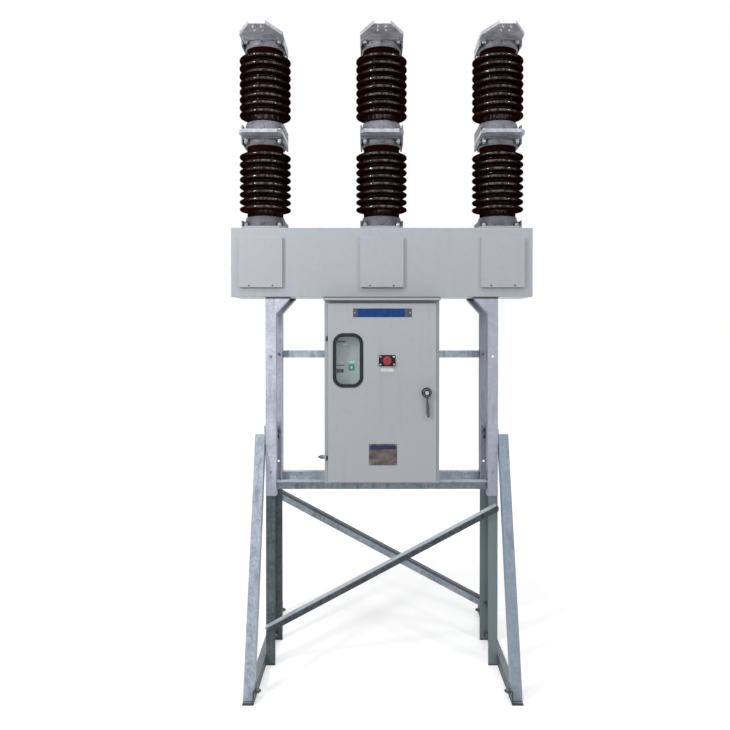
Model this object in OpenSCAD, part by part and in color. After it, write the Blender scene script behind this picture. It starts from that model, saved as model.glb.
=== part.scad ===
// Outdoor vacuum circuit breaker for a 35 kV line: three porcelain poles on a beam
// housing, the operating cabinet under it, and a stand of galvanised angle steel.
// Origin on the ground at the middle of the footprint, +Z up, front towards -Y.

/* [Beam housing] */
// Length of the beam housing, along X
beam_w = 1750; // [1650:10:2300]
// Depth of the beam housing, which also sets the depth of the stand
beam_d = 340; // [300:10:480]
// Height of the beam housing
beam_h = 400; // [340:10:520]
// Height of the underside of the beam above the ground
beam_z = 2150; // [1900:10:2700]
// Width of each access cover
cover_w = 250; // [160:5:300]
// Height of each access cover
cover_h = 290; // [200:5:320]
// How far an access cover stands out of the beam
cover_d = 18; // [8:1:24]

/* [Poles] */
// Distance between neighbouring poles
pole_pitch = 700; // [500:10:800]
// Length of the lower porcelain, between its flanges
lower_porcelain_h = 419; // [380:1:560]
// Length of the upper porcelain, between its flanges
upper_porcelain_h = 433; // [380:1:560]
// Radius of the porcelain at its plain neck
neck_r = 107; // [85:1:130]
// Radius over the sheds
shed_r = 153; // [140:1:180]
// Number of sheds on each porcelain
sheds = 8; // [5:1:9]
// Radius of the rounded rim of a shed
shed_rim_r = 9; // [6:0.5:10]
// How far a shed's rim hangs below its root
shed_droop = 7; // [0:1:10]
// Plain neck below the lowest shed
neck_low = 58; // [40:1:70]
// Plain neck above the highest shed
neck_high = 49; // [40:1:70]

/* [Flanges] */
// Margin of the square flange castings around their collars
flange_margin = 5; // [3:1:20]
// Corner cut of the square flange castings
flange_cut = 26; // [10:1:30]
// Plate thickness of a foot flange, at the lower end of a porcelain
foot_plate_t = 18; // [12:1:24]
// Height of a foot flange
foot_h = 78; // [66:1:100]
// Height of the side ribs of a foot flange
foot_rib_h = 52; // [30:1:60]
// Plate thickness of a head flange, at the upper end of a porcelain
head_plate_t = 12; // [10:1:20]
// Height of a head flange
head_h = 44; // [40:1:70]
// Height of the side ribs of a head flange
head_rib_h = 36; // [24:1:38]
// Wall of the flange collar beside the plate
collar_wall = 14; // [12:1:20]
// Wall of the flange collar at its open end
collar_end_wall = 6; // [5:1:10]
// Thickness of the side ribs
rib_t = 9; // [6:1:12]
// Distance of the flange bolts from the edges of the casting
flange_bolt_in = 28; // [26:1:30]
// Diameter of the flange bolt holes
flange_hole_d = 18; // [14:1:20]

/* [Terminals] */
// Thickness of the terminal plates
terminal_t = 20; // [12:1:24]
// Reach of the upper terminal in front of the pole axis
upper_reach = 315; // [280:5:380]
// Width of the upper terminal at its front edge
upper_front_w = 92; // [80:1:120]
// Reach of the lower terminal in front of the pole axis
lower_reach = 214; // [205:1:260]
// Width of the lower terminal at its front edge
lower_front_w = 198; // [150:1:220]
// Hole spacing of the upper terminal across its width
upper_hole_x = 45; // [40:1:50]
// Hole spacing of the upper terminal along its length
upper_hole_y = 50; // [40:1:60]
// Hole spacing of the lower terminal, both ways
lower_hole_pitch = 50; // [40:1:50]
// Diameter of the terminal holes
terminal_hole_d = 14; // [11:1:18]
// Distance from a terminal's front edge to its first holes
terminal_edge = 24; // [20:1:30]

/* [Cabinet] */
// Width of the cabinet body
cab_w = 660; // [540:10:800]
// How far the front rim of the cabinet stands in front of the beam
cab_forward = 38; // [20:2:80]
// How far the back of the cabinet lies in front of the back face of the stand
cab_inset = 10; // [8:1:30]
// Height of the rails that the cabinet stands on
rail_z = 1076; // [900:10:1300]
// Sheet thickness of the cabinet, its roof and its door
sheet = 2; // [1.5:0.5:4]
// Width of the rim round the door opening
rim_w = 38; // [30:1:50]
// Gap between the cabinet roof and the beam
roof_gap = 2; // [0.5:0.5:6]
// Depth of the drip edge round the roof
roof_lip = 20; // [12:1:30]
// How far the drip edge stands in front of the rim
roof_front = 40; // [38:1:60]
// How far the drip edge stands out at the sides and the back
roof_side = 5; // [3:1:15]
// Distance of the inner panel behind the front rim
panel_set_back = 46; // [30:1:80]

/* [Door] */
// Margin of the rim left of the door
door_left = 21; // [18:1:30]
// Margin of the rim right of the door
door_right = 20; // [10:1:30]
// Margin of the rim under the door
door_low = 10; // [6:1:20]
// Gap between the door and the roof's drip edge
door_high = 18; // [8:1:30]
// Depth of the door pan
door_d = 18; // [16:1:30]
// Gap between the closed door and the rim
door_gap = 5; // [5:0.5:8]
// Height of each hinge
hinge_h = 54; // [40:2:80]
// Diameter of the hinge barrels
hinge_d = 10; // [9:0.5:12]
// Diameter of the hinge pins
hinge_pin_d = 5; // [4:0.5:6]
// Distance of the hinge centres from the door's upper and lower ends
hinge_in = [188, 152];

/* [Window] */
// Width over the window gasket
window_w = 174; // [120:2:200]
// Height over the window gasket
window_h = 311; // [200:1:400]
// Corner radius of the gasket, outside
window_r = 60; // [30:1:60]
// Width of the gasket ring
gasket_w = 20; // [16:1:28]
// Distance of the window's centre from the door's left edge
window_x = 115; // [110:1:140]
// Height of the window's centre above the door's lower edge
window_z = 698; // [500:1:760]
// Thickness of the glass
glass_t = 4; // [3:0.5:6]

/* [Trip button] */
// Height of the button above the door's lower edge
button_z = 697; // [400:1:800]
// Sideways place of the button from the cabinet's middle
button_x = 30; // [0:1:60]
// Diameter of the mushroom head
button_d = 49; // [30:1:60]
// Stroke of the button
button_stroke = 6; // [3:0.5:6]

/* [Door handle] */
// Height of the handle's pivot above the door's lower edge
handle_z = 514; // [300:1:700]
// Distance of the handle's pivot from the door's right edge
handle_in = 54; // [45:1:100]
// Length of the lever from the pivot to its end
handle_len = 142; // [100:1:170]
// Diameter of the handle's round head
handle_d = 50; // [40:1:56]

/* [Stand] */
// Distance between the outer edges of the uprights
stand_w = 1350; // [1200:10:1500]
// Leg width of the upright and brace angles
angle_w = 60; // [50:1:75]
// Thickness of the angle steel
angle_t = 5; // [4:1:8]
// Leg width of the angle under the cabinet's front edge
rail_w = 56; // [40:1:63]
// Leg width of the diagonal braces
brace_w = 50; // [40:1:63]
// Leg width of the cross bar behind the cabinet
bar_w = 44; // [40:1:56]
// Depth over which the uprights' heads flare inwards
flare_h = 88; // [60:2:120]
// How far the uprights' heads reach inwards
flare_w = 80; // [50:2:110]
// Height where the upper uprights end at the splice
splice_z = 992; // [900:1:1010]
// Length of the base rails, along Y
base_len = 1184; // [1000:2:1500]
// Height of the upstanding leg of the base rails
base_h = 70; // [50:1:100]
// Height of the top of the raking legs
rake_top_z = 1352; // [1200:2:1400]
// Height of the cross bar behind the cabinet
bar_z = 1782; // [1500:2:1900]
// Diameter of the foundation bolt holes
foundation_hole_d = 18; // [14:1:22]
// Distance of the foundation holes from the ends of the base rails
foundation_in = 80; // [60:5:120]
// Distance of the raking legs' feet from the ends of the base rails
rake_foot_in = 62; // [50:1:120]
// Leg width of the raking legs, seen from the front
rake_w = 56; // [40:1:60]
// Diameter of the bolt holes in the posts' face flanges
post_hole_d = 14; // [11:1:18]
// Height of the bolt holes where the upper and the lower posts overlap
splice_hole_z = 1131; // [1110:1:1150]

/* [Hidden] */
$fn = 64;
fit = 0.3; // clearance of fixed pieces that sit inside one another
run = 0.1; // radial clearance of pins and shafts
eps = 0.01; // overlap that keeps cuts clean

// Levels, from the beam up
beam_top = beam_z + beam_h;
lower_z = beam_top + foot_h;
mid_head_z = lower_z + lower_porcelain_h;
lower_terminal_z = mid_head_z + head_h;
mid_foot_z = lower_terminal_z + terminal_t;
upper_z = mid_foot_z + foot_h;
top_head_z = upper_z + upper_porcelain_h;
upper_terminal_z = top_head_z + head_h;

// Depth planes
face_y = beam_d / 2;
collar_r = neck_r + collar_wall;
collar_end_r = neck_r + collar_end_wall;
half_flange = collar_r + flange_margin;
flange_w = 2 * half_flange;
flange_bolt_pitch = flange_w - 2 * flange_bolt_in;
cab_front = face_y + cab_forward;
cab_back = face_y - cab_inset;

// Terminal plates
lower_chamfer = 36;
upper_shoulder = half_flange + 30;

// Cabinet and door, seen from the front
cab_top = beam_z - roof_gap - sheet;
door_x0 = -cab_w / 2 + door_left;
door_x1 = cab_w / 2 - door_right;
door_z0 = rail_z + door_low;
door_z1 = cab_top + sheet - roof_lip - door_high;
door_back = -cab_front - door_gap;
door_face = door_back - door_d;
door_w = door_x1 - door_x0;
door_h = door_z1 - door_z0;
hinge_x = door_x0 - hinge_d / 2 - 1;
hinge_y = door_back - door_d / 2;
hinge_z = [door_z1 - hinge_in[0], door_z0 + hinge_in[1]];
hinge_cap = 2;

// Window, gasket and glass
window_cx = door_x0 + window_x;
window_cz = door_z0 + window_z;
gasket_grip = 6;
gasket_lip = 4;

// Button and handle
button_cz = door_z0 + button_z;
button_plate_w = 96;
button_plate_h = 64;
button_plate_t = 3;
button_collar_d = 32;
button_collar_t = 7;
button_stem_d = 22;
button_head_t = 12;
button_rest_gap = 6;
handle_cx = door_x1 - handle_in;
handle_cz = door_z0 + handle_z;
handle_base_t = 3;
handle_shaft_d = 16;
handle_lever_w = 17;
handle_lever_t = 11;
handle_stand = 12;
handle_head_t = 16;
handle_lean = 3.5;
cam_t = 3;
cam_l = 36;
cam_w = 20;
cam_back = door_back - 4;

// Stand
upright_out = stand_w / 2;
upright_in = upright_out - angle_w;
upright_top = beam_z - 8;
bar_hole_z = bar_z + bar_w / 2;
end_plate_t = 8;
end_plate_d = angle_w + 10;
lower_leg_top = rake_top_z + 30;
lower_leg_y = face_y - angle_t;
lower_leg_w = angle_w - angle_t - 1;
pad_t = angle_t;
rake_x = upright_out + pad_t;
base_y = base_len / 2;
rake_foot_z = 16;
rake_foot_y = base_y - rake_foot_in;
rake_top_y = lower_leg_y - angle_w / 2;
rake_run = rake_foot_y - rake_top_y;
rake_rise = rake_top_z - rake_foot_z;
rake_angle = atan2(rake_run, rake_rise);
brace_low_x = upright_out - angle_w / 2;
brace_high_x = brace_low_x + 8;
front_brace_z = [226, 918];
rear_brace_z = [230, 924];

PHASES = ["a", "b", "c"];
POLE_KINDS = [
    "base_flange", "lower_insulator", "mid_flanges", "lower_terminal",
    "upper_insulator", "top_flange", "upper_terminal"
];
SINGLE_NODES = [
    "beam_box", "beam_covers",
    "cabinet_body", "cabinet_roof", "inner_panel", "door_hinges",
    "cabinet_door", "window_gasket", "window_glass", "button_plate",
    "handle_base", "door_plates", "door_handle", "trip_button",
    "front_uprights", "rear_uprights", "lower_legs", "raking_legs", "base_rails",
    "front_rail", "rear_rail", "rear_bar", "front_brace", "rear_brace"
];

paint_grey = [0.74, 0.76, 0.77];
cast_grey = [0.52, 0.53, 0.56];
porcelain_brown = [0.16, 0.07, 0.06];
zinc = [0.70, 0.73, 0.78];
dark_zinc = [0.48, 0.52, 0.54];
rubber_dark = [0.20, 0.23, 0.26];
glass_green = [0.62, 0.72, 0.68];
plate_blue = [0.12, 0.28, 0.58];
button_black = [0.10, 0.10, 0.11];
button_red = [0.78, 0.12, 0.14];
chrome_grey = [0.55, 0.57, 0.60];

// ---- Shapes that repeat ----

// Square outline with cut corners, centred
module cut_square(w, cut) {
    h = w / 2;
    polygon([
        [-h, -h + cut], [-h + cut, -h], [h - cut, -h], [h, -h + cut],
        [h, h - cut], [h - cut, h], [-h + cut, h], [-h, h - cut]
    ]);
}

// Rectangle with round corners, centred
module round_rect(w, h, r) {
    square([w - 2 * r, h], center = true);
    square([w, h - 2 * r], center = true);
    for (x = [-1, 1], y = [-1, 1])
        translate([x * (w / 2 - r), y * (h / 2 - r)])
            circle(r);
}

// Plate standing in the XZ plane: its front face at y = front, t thick towards the back
module standing(front, t) {
    translate([0, front + t, 0])
        rotate([90, 0, 0])
            linear_extrude(t)
                children();
}

// Cylinder along Y, from y = front towards the back
module rod_y(x, z, front, len, d) {
    translate([x, front + len, z])
        rotate([90, 0, 0])
            cylinder(d = d, h = len);
}

// L outline in the first quadrant, its corner at the origin
module angle_outline(w, d, t) {
    square([w, t]);
    square([t, d]);
}

// Four copies at the corners of a rectangle
module at_corners(dx, dy) {
    for (x = [-1, 1], y = [-1, 1])
        translate([x * dx / 2, y * dy / 2, 0])
            children();
}

// The piece and its mirror image on the other side of the stand
module both_sides() {
    children();
    mirror([1, 0, 0])
        children();
}

// The piece and its mirror image at the back of the stand
module front_and_back() {
    children();
    mirror([0, 1, 0])
        children();
}

module at_pole(i) {
    translate([(i - 1) * pole_pitch, 0, 0])
        children();
}

// ---- Beam housing ----

module beam_box() {
    color(paint_grey)
        translate([-beam_w / 2, -face_y, beam_z])
            cube([beam_w, beam_d, beam_h]);
}

module beam_covers() {
    color(paint_grey)
        for (i = [0:2])
            at_pole(i)
                translate([0, -face_y, beam_z + beam_h / 2])
                    cover_pan();
}

// Shallow sheet pan, open towards the beam
module cover_pan() {
    difference() {
        standing(-cover_d, cover_d)
            square([cover_w, cover_h], center = true);
        standing(-cover_d + sheet, cover_d)
            square([cover_w - 2 * sheet, cover_h - 2 * sheet], center = true);
    }
}

// ---- Poles ----

// Flange casting: joint face at z = 0, collar and porcelain socket towards +Z
module flange(plate_t, rib_h, h) {
    difference() {
        union() {
            linear_extrude(plate_t)
                cut_square(flange_w, flange_cut);
            for (side = [-1, 1])
                translate([side * (half_flange - rib_t / 2), 0, rib_h / 2])
                    cube([rib_t, flange_w - 2 * flange_cut, rib_h], center = true);
            rotate_extrude()
                polygon([
                    [0, 0], [collar_r, 0], [collar_r, h * 0.6],
                    [collar_r - 2, h * 0.75], [collar_end_r, h], [0, h]
                ]);
            filler_boss(h * 0.5);
        }
        translate([0, 0, plate_t])
            cylinder(r = neck_r + fit, h = h);
        translate([0, 0, -eps])
            at_corners(flange_bolt_pitch, flange_bolt_pitch)
                cylinder(d = flange_hole_d, h = plate_t + 2 * eps);
    }
}

// Round boss of the cement filler, on the front and the back of the collar
module filler_boss(z) {
    difference() {
        rod_y(0, z, -half_flange + 1, flange_w - 2, 26);
        translate([0, 0, -1])
            cylinder(r = collar_r - 3, h = 2 * z + 2);
    }
}

module foot_flange() {
    flange(foot_plate_t, foot_rib_h, foot_h);
}

module head_flange() {
    translate([0, 0, head_h])
        mirror([0, 0, 1])
            flange(head_plate_t, head_rib_h, head_h);
}

// Rim of a shed: points on its rounding, from below to above
function shed_rim(z) = [
    for (a = [-75:25:75])
        [shed_r - shed_rim_r * (1 - cos(a)), z - shed_droop + shed_rim_r * sin(a)]
];

// One shed from its lower root to its upper root
function shed_points(z, pitch) = concat(
    [[neck_r, z - pitch * 0.47]],
    shed_rim(z),
    [[neck_r, z + pitch * 0.47]]
);

// Porcelain between two flanges, with its ends inside their sockets
module porcelain(len) {
    in_foot = foot_h - foot_plate_t;
    in_head = head_h - head_plate_t;
    pitch = (len - neck_low - neck_high) / (sheds - 1);
    outline = concat(
        [[0, -in_foot], [neck_r, -in_foot]],
        [for (i = [0:sheds - 1], p = shed_points(neck_low + i * pitch, pitch)) p],
        [[neck_r, len + in_head], [0, len + in_head]]
    );
    rotate_extrude($fn = 96)
        polygon(outline);
}

module base_flange(i) {
    color(cast_grey)
        at_pole(i)
            translate([0, 0, beam_top])
                foot_flange();
}

module lower_insulator(i) {
    color(porcelain_brown)
        at_pole(i)
            translate([0, 0, lower_z])
                porcelain(lower_porcelain_h);
}

module mid_flanges(i) {
    color(cast_grey)
        at_pole(i) {
            translate([0, 0, mid_head_z])
                head_flange();
            translate([0, 0, mid_foot_z])
                foot_flange();
        }
}

module upper_insulator(i) {
    color(porcelain_brown)
        at_pole(i)
            translate([0, 0, upper_z])
                porcelain(upper_porcelain_h);
}

module top_flange(i) {
    color(cast_grey)
        at_pole(i)
            translate([0, 0, top_head_z])
                head_flange();
}

// Terminal plate: square part between the flanges, tongue towards the front
module terminal_plate(reach, front_w, shoulder, hole_x, hole_y) {
    h = half_flange;
    first = -reach + terminal_edge;
    difference() {
        linear_extrude(terminal_t)
            polygon([
                [-h, h - flange_cut], [-h, -shoulder], [-front_w / 2, -reach],
                [front_w / 2, -reach], [h, -shoulder], [h, h - flange_cut],
                [h - flange_cut, h], [-h + flange_cut, h]
            ]);
        translate([0, 0, -eps]) {
            at_corners(flange_bolt_pitch, flange_bolt_pitch)
                cylinder(d = flange_hole_d, h = terminal_t + 2 * eps);
            translate([0, first + hole_y / 2, 0])
                at_corners(hole_x, hole_y)
                    cylinder(d = terminal_hole_d, h = terminal_t + 2 * eps);
        }
    }
}

module lower_terminal(i) {
    color(cast_grey)
        at_pole(i)
            translate([0, 0, lower_terminal_z])
                terminal_plate(
                    lower_reach, lower_front_w, lower_reach - lower_chamfer,
                    lower_hole_pitch, lower_hole_pitch
                );
}

module upper_terminal(i) {
    color(cast_grey)
        at_pole(i)
            translate([0, 0, upper_terminal_z])
                terminal_plate(
                    upper_reach, upper_front_w, upper_shoulder,
                    upper_hole_x, upper_hole_y
                );
}

// ---- Cabinet ----

module cabinet_body() {
    depth = cab_front + cab_back;
    height = cab_top - rail_z;
    rim_z0 = rail_z + rim_w;
    color(paint_grey) {
        difference() {
            translate([-cab_w / 2, -cab_front, rail_z])
                cube([cab_w, depth, height]);
            translate([-cab_w / 2 + sheet, -cab_front + sheet, rail_z + sheet])
                cube([cab_w - 2 * sheet, depth - 2 * sheet, height - 2 * sheet]);
            translate([-cab_w / 2 + rim_w, -cab_front - eps, rim_z0])
                cube([cab_w - 2 * rim_w, sheet + 2 * eps, cab_top - rim_w - rim_z0]);
        }
        earth_boss();
    }
}

// Welded earthing boss on the left wall
module earth_boss() {
    boss_d = 24;
    boss_l = 14;
    boss_y = -cab_front + 60;
    boss_z = rail_z + 140;
    translate([-cab_w / 2 - boss_l, boss_y, boss_z])
        rotate([0, 90, 0])
            cylinder(d = boss_d, h = boss_l + eps);
}

// Roof cap with a drip edge all round
module cabinet_roof() {
    w = cab_w + 2 * roof_side;
    front = -cab_front - roof_front;
    depth = cab_back + roof_side - front;
    color(paint_grey)
        difference() {
            translate([-w / 2, front, cab_top + sheet - roof_lip])
                cube([w, depth, roof_lip]);
            translate([-w / 2 + sheet, front + sheet, cab_top - roof_lip])
                cube([w - 2 * sheet, depth - 2 * sheet, roof_lip]);
        }
}

// Instrument panel behind the window, folded back along both sides
module inner_panel() {
    inside = cab_w - 2 * sheet;
    fold = 30;
    top_gap = 60;
    height = cab_top - rail_z - 2 * sheet - top_gap;
    color(paint_grey)
        translate([-inside / 2, -cab_front + panel_set_back, rail_z + sheet])
            difference() {
                cube([inside, fold, height]);
                translate([sheet, sheet, -eps])
                    cube([inside - 2 * sheet, fold, height + 2 * eps]);
            }
}

// Fixed half of each hinge: foot on the rim, lower barrel and the pin
module door_hinges() {
    color(chrome_grey)
        for (z = hinge_z)
            translate([hinge_x, hinge_y, z - hinge_h / 2]) {
                cylinder(d = hinge_d, h = hinge_h / 2 - fit);
                cylinder(d = hinge_pin_d, h = hinge_h - hinge_cap - 1);
                translate([-hinge_d / 2, 0, 0])
                    cube([hinge_d - 2, -cab_front - hinge_y, hinge_h / 2 - fit]);
            }
}

// Moving half of each hinge, welded to the door's left fold
module door_knuckles() {
    strap_t = 4;
    for (z = hinge_z)
        translate([hinge_x, hinge_y, z])
            difference() {
                union() {
                    cylinder(d = hinge_d, h = hinge_h / 2);
                    translate([0, -strap_t / 2, 0])
                        cube([hinge_d / 2 + 1 + sheet / 2, strap_t, hinge_h / 2]);
                }
                translate([0, 0, -eps])
                    cylinder(d = hinge_pin_d + 2 * run, h = hinge_h / 2 - hinge_cap);
            }
}

// ---- Door and what it carries ----

module window_outline(inset) {
    translate([window_cx, window_cz])
        round_rect(window_w - 2 * inset, window_h - 2 * inset, window_r - inset);
}

module cabinet_door() {
    mid_x = (door_x0 + door_x1) / 2;
    mid_z = (door_z0 + door_z1) / 2;
    color(paint_grey) {
        difference() {
            standing(door_face, door_d)
                translate([mid_x, mid_z])
                    square([door_w, door_h], center = true);
            standing(door_face + sheet, door_d)
                translate([mid_x, mid_z])
                    square([door_w - 2 * sheet, door_h - 2 * sheet], center = true);
            standing(door_face - eps, sheet + 2 * eps)
                window_outline(gasket_grip);
            rod_y(button_x, button_cz, door_face - eps, sheet + 2 * eps, button_stem_d + 2);
            rod_y(handle_cx, handle_cz, door_face - eps, sheet + 2 * eps, handle_shaft_d + 2 * run);
        }
        door_knuckles();
    }
}

// Rubber ring that grips the door sheet outside and the glass inside
module window_gasket() {
    glass_front = door_face + sheet / 2 - glass_t / 2;
    color(rubber_dark)
        difference() {
            standing(door_face - gasket_lip, 2 * gasket_lip + sheet)
                difference() {
                    window_outline(0);
                    window_outline(gasket_w);
                }
            standing(door_face - fit / 2, sheet + fit)
                difference() {
                    window_outline(-1);
                    window_outline(gasket_grip + fit);
                }
            standing(glass_front - fit / 2, glass_t + fit)
                window_outline(gasket_w - gasket_grip);
        }
}

module window_glass() {
    glass_front = door_face + sheet / 2 - glass_t / 2;
    color(glass_green, 0.5)
        standing(glass_front, glass_t)
            window_outline(gasket_w - gasket_grip + fit);
}

// Black plate with the collar that guides the button
module button_plate() {
    front = door_face - button_plate_t;
    color(button_black)
        difference() {
            union() {
                standing(front, button_plate_t)
                    translate([button_x, button_cz])
                        square([button_plate_w, button_plate_h], center = true);
                rod_y(button_x, button_cz, front - button_collar_t, button_collar_t, button_collar_d);
            }
            rod_y(
                button_x, button_cz, front - button_collar_t - eps,
                button_plate_t + button_collar_t + 2 * eps, button_stem_d + 2 * run
            );
        }
}

module trip_button() {
    stem_past = 8;
    collar_face = door_face - button_plate_t - button_collar_t;
    head_back = collar_face - button_stroke - button_rest_gap;
    color(button_red) {
        rod_y(button_x, button_cz, head_back, door_face + stem_past - head_back, button_stem_d);
        translate([button_x, head_back, button_cz])
            rotate([90, 0, 0])
                rotate_extrude()
                    polygon([
                        [0, 0], [button_d / 2 - 2, 0], [button_d / 2, 2],
                        [button_d / 2, button_head_t - 6], [button_d / 2 - 3, button_head_t - 2.5],
                        [button_d / 2 - 9, button_head_t], [0, button_head_t]
                    ]);
    }
}

module handle_base() {
    color(chrome_grey)
        difference() {
            rod_y(handle_cx, handle_cz, door_face - handle_base_t, handle_base_t, handle_d + 8);
            rod_y(
                handle_cx, handle_cz, door_face - handle_base_t - eps,
                handle_base_t + 2 * eps, handle_shaft_d + 2 * run
            );
        }
}

// Lever with a round head, hanging almost straight down when the door is latched
module door_handle() {
    back = door_face - handle_stand;
    tip_w = handle_lever_w;
    color(chrome_grey)
        translate([handle_cx, 0, handle_cz])
            rotate([0, -handle_lean, 0]) {
                rod_y(0, 0, back - handle_head_t, handle_head_t, handle_d);
                rod_y(0, 0, back - eps, cam_back - back, handle_shaft_d);
                standing(back - handle_lever_t, handle_lever_t) {
                    translate([-tip_w / 2, -handle_len + tip_w / 2])
                        square([tip_w, handle_len - tip_w / 2]);
                    translate([0, -handle_len + tip_w / 2])
                        circle(d = tip_w);
                }
                standing(cam_back - cam_t, cam_t)
                    translate([-cam_w / 2, -cam_w / 2])
                        square([cam_l, cam_w]);
            }
}

// Plates fixed to the door's face: name plate, rating plate and a small label
module door_plates() {
    plate_t = 1.5;
    name_plate = [336, 50];
    name_plate_in = 54;
    rating_plate = [161, 123];
    rating_plate_z = 159;
    label = [75, 19];
    label_drop = 54;
    color(plate_blue)
        standing(door_face - plate_t, plate_t) {
            translate([3, door_z1 - name_plate_in])
                square(name_plate, center = true);
            translate([6, door_z0 + rating_plate_z])
                square(rating_plate, center = true);
            translate([button_x, button_cz - label_drop])
                square(label, center = true);
        }
}

// ---- Stand ----

// Angle standing upright: corner at (x, y), legs towards +X and +Y
module post(x, y, z0, z1, w, d) {
    translate([x, y, z0])
        linear_extrude(z1 - z0)
            angle_outline(w, d, angle_t);
}

// Bolt hole in the face flange of a front left post
module post_hole(z) {
    rod_y(-upright_out + angle_w / 2, z, -face_y - eps, 3 * angle_t, post_hole_d);
}

// Front left upper upright: face flange in front, side flange inside. The head is flared:
// the side flange bends inwards and the face widens with it, up to the end plate.
module upper_upright() {
    bend_z = upright_top - flare_h;
    skew = angle_t * sqrt(flare_w * flare_w + flare_h * flare_h) / flare_h;
    difference() {
        translate([-upright_in, -face_y, splice_z])
            mirror([1, 0, 0])
                linear_extrude(bend_z - splice_z)
                    angle_outline(angle_w, angle_w, angle_t);
        post_hole(splice_hole_z);
        post_hole(bar_hole_z);
    }
    translate([-upright_in, 0, bend_z]) {
        standing(-face_y, angle_t)
            polygon([[-angle_w, 0], [0, 0], [flare_w, flare_h], [-angle_w, flare_h]]);
        standing(-face_y, angle_w)
            polygon([[-skew, 0], [0, 0], [flare_w, flare_h], [flare_w - skew, flare_h]]);
    }
    translate([-upright_out, -face_y, upright_top])
        cube([angle_w + flare_w, end_plate_d, end_plate_t]);
}

module front_uprights() {
    color(zinc)
        both_sides()
            upper_upright();
}

module rear_uprights() {
    color(zinc)
        both_sides()
            mirror([0, 1, 0])
                upper_upright();
}

// Front left lower leg, nested behind the upper upright, side flange outside
module lower_leg() {
    pad_h = 90;
    post(-upright_out, -lower_leg_y, 0, lower_leg_top, lower_leg_w, angle_w);
    translate([-upright_out - pad_t, -lower_leg_y, lower_leg_top - pad_h])
        cube([pad_t + eps, angle_w, pad_h]);
}

// The rear legs are drilled at the splice, as the upper uprights are
module lower_legs() {
    color(dark_zinc)
        both_sides() {
            lower_leg();
            mirror([0, 1, 0])
                difference() {
                    lower_leg();
                    post_hole(splice_hole_z);
                }
        }
}

// Front left raking leg: face flange in front, side flange against the lower leg
module raking_leg() {
    slant = rake_rise / cos(rake_angle) + 140;
    intersection() {
        translate([-rake_x, -rake_foot_y, rake_foot_z])
            rotate([-rake_angle, 0, 0])
                translate([0, -angle_w / 2, -60])
                    mirror([1, 0, 0])
                        linear_extrude(slant)
                            angle_outline(rake_w, angle_w, angle_t);
        translate([-rake_x - rake_w - 1, -base_y, angle_t])
            cube([rake_w + 2, base_len, rake_top_z - angle_t]);
    }
}

module raking_legs() {
    color(zinc)
        both_sides()
            front_and_back()
                raking_leg();
}

// Left base rail: flat leg outwards on the ground, upstanding leg inside
module base_rail() {
    difference() {
        translate([-upright_out, base_y, 0])
            rotate([90, 0, 0])
                mirror([1, 0, 0])
                    linear_extrude(base_len)
                        angle_outline(angle_w, base_h, angle_t);
        for (end = [-1, 1])
            translate([-upright_out - angle_w / 2 - 2, end * (base_y - foundation_in), -eps])
                cylinder(d = foundation_hole_d, h = angle_t + 2 * eps);
    }
}

module base_rails() {
    color(zinc)
        both_sides()
            base_rail();
}

// Angle under the cabinet's front edge: top leg forwards, other leg down behind it
module front_rail() {
    color(dark_zinc)
        translate([-upright_in, -face_y + rail_w, rail_z])
            rotate([0, 90, 0])
                rotate([0, 0, -90])
                    mirror([1, 0, 0])
                        linear_extrude(2 * upright_in)
                            mirror([1, 0])
                                angle_outline(rail_w, rail_w, angle_t);
}

// Channel under the cabinet's back edge, open to the front
module rear_rail() {
    channel_h = 80;
    channel_w = 43;
    back = face_y - angle_t;
    color(zinc)
        difference() {
            translate([-upright_in, back - channel_w, rail_z - channel_h])
                cube([2 * upright_in, channel_w, channel_h]);
            translate([-upright_in - 1, back - channel_w - 1, rail_z - channel_h + angle_t])
                cube([2 * upright_in + 2, channel_w + 1 - angle_t, channel_h - 2 * angle_t]);
        }
}

// Angle across the back of the cabinet
module rear_bar() {
    color(zinc)
        translate([-upright_in, cab_back, bar_z]) {
            cube([2 * upright_in, angle_t, bar_w]);
            translate([0, 0, bar_w - angle_t])
                cube([2 * upright_in, bar_w, angle_t]);
        }
}

// Diagonal angle on the outer face of the lower legs, its second leg on top.
// It rises towards +X between its end bolts, at the heights z[0] and z[1].
module brace(z) {
    past_bolt = 20;
    span = brace_low_x + brace_high_x;
    rise = z[1] - z[0];
    len = sqrt(span * span + rise * rise) + 2 * past_bolt;
    translate([-brace_low_x, -lower_leg_y, z[0]])
        rotate([0, -atan2(rise, span), 0])
            translate([-past_bolt, 0, -brace_w / 2]) {
                translate([0, -angle_t, 0])
                    cube([len, angle_t, brace_w]);
                translate([0, -brace_w, brace_w - angle_t])
                    cube([len, brace_w, angle_t]);
            }
}

module front_brace() {
    color(zinc)
        brace(front_brace_z);
}

// The rear brace crosses the front one
module rear_brace() {
    color(zinc)
        rotate([0, 0, 180])
            brace(rear_brace_z);
}

// ---- Pieces ----

beam_box();
beam_covers();
for (i = [0:2]) {
    base_flange(i);
    lower_insulator(i);
    mid_flanges(i);
    lower_terminal(i);
    upper_insulator(i);
    top_flange(i);
    upper_terminal(i);
}
cabinet_body();
cabinet_roof();
inner_panel();
door_hinges();
cabinet_door();
window_gasket();
window_glass();
button_plate();
handle_base();
door_plates();
door_handle();
trip_button();
front_uprights();
rear_uprights();
lower_legs();
raking_legs();
base_rails();
front_rail();
rear_rail();
rear_bar();
front_brace();
rear_brace();
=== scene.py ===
"""Looks of an outdoor vacuum circuit breaker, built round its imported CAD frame."""

import math

import bmesh
import bpy
from mathutils import Matrix, Vector


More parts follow.
